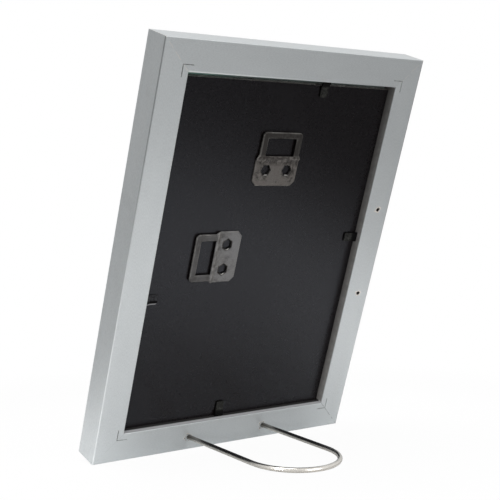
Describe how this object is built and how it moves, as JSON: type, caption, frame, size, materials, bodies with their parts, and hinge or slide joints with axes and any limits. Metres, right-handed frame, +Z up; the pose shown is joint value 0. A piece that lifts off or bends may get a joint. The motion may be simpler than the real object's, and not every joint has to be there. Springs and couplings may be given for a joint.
{
  "type": "easel back photo frame",
  "caption": "Silver table-top photo frame with glass, back panel, bendable holding points, hanger plates and a plug-in wire stand that it leans back on.",
  "frame": {"origin": "on the table that the frame stands on, under the middle of its bounding box", "axes": "+Z up; the picture faces -Y and the frame leans back towards +Y, where the wire stand is"},
  "size_m": [0.158, 0.094, 0.203],
  "materials": {
    "silver_foil": "satin silver foil",
    "bright_steel": "plain steel",
    "black_steel": "blackened",
    "float_glass": "clear",
    "insert_paper": "matt white",
    "black_hardboard": "smooth black",
    "gunmetal_steel": "gunmetal",
    "nickel_wire": "bright nickel"
  },
  "bodies": {
    "frame": {"bottom_rail": "silver_foil", "left_rail": "silver_foil", "top_rail": "silver_foil", "right_rail": "silver_foil", "bottom_left_corner_nail": "bright_steel", "top_left_corner_nail": "bright_steel", "top_right_corner_nail": "bright_steel", "bottom_right_corner_nail": "bright_steel", "bottom_point_blade": "black_steel", "left_point_blade": "black_steel", "top_point_blade": "black_steel", "right_point_blade": "black_steel", "glass_pane": "float_glass", "photo_insert": "insert_paper", "back_panel": "black_hardboard", "portrait_hanger": "gunmetal_steel", "landscape_hanger": "gunmetal_steel"},
    "stand": {"wire_stand": "nickel_wire"},
    "bottom_tab": {"bottom_point_tab": "black_steel"},
    "left_tab": {"left_point_tab": "black_steel"},
    "top_tab": {"top_point_tab": "black_steel"},
    "right_tab": {"right_point_tab": "black_steel"}
  },
  "joints": [
    {"name": "stand_slide", "type": "slide", "parent": "frame", "child": "stand", "axis": [0, 0.9975, -0.0709], "range_m": [0, 0.02]},
    {"name": "bottom_tab_bend", "type": "hinge", "parent": "frame", "child": "bottom_tab", "pos_m": [0.0048, -0.03128, 0.01598], "axis": [-1, 0, 0], "range_deg": [0, 95]},
    {"name": "left_tab_bend", "type": "hinge", "parent": "frame", "child": "left_tab", "pos_m": [-0.0631, 0.00034, 0.10747], "axis": [0, 0.3267, 0.9451], "range_deg": [0, 95]},
    {"name": "top_tab_bend", "type": "hinge", "parent": "frame", "child": "top_tab", "pos_m": [-0.0202, 0.02693, 0.1844], "axis": [1, 0, 0], "range_deg": [0, 95]},
    {"name": "right_tab_bend", "type": "hinge", "parent": "frame", "child": "right_tab", "pos_m": [0.0631, -0.00903, 0.08034], "axis": [0, -0.3267, -0.9451], "range_deg": [0, 95]}
  ]
}
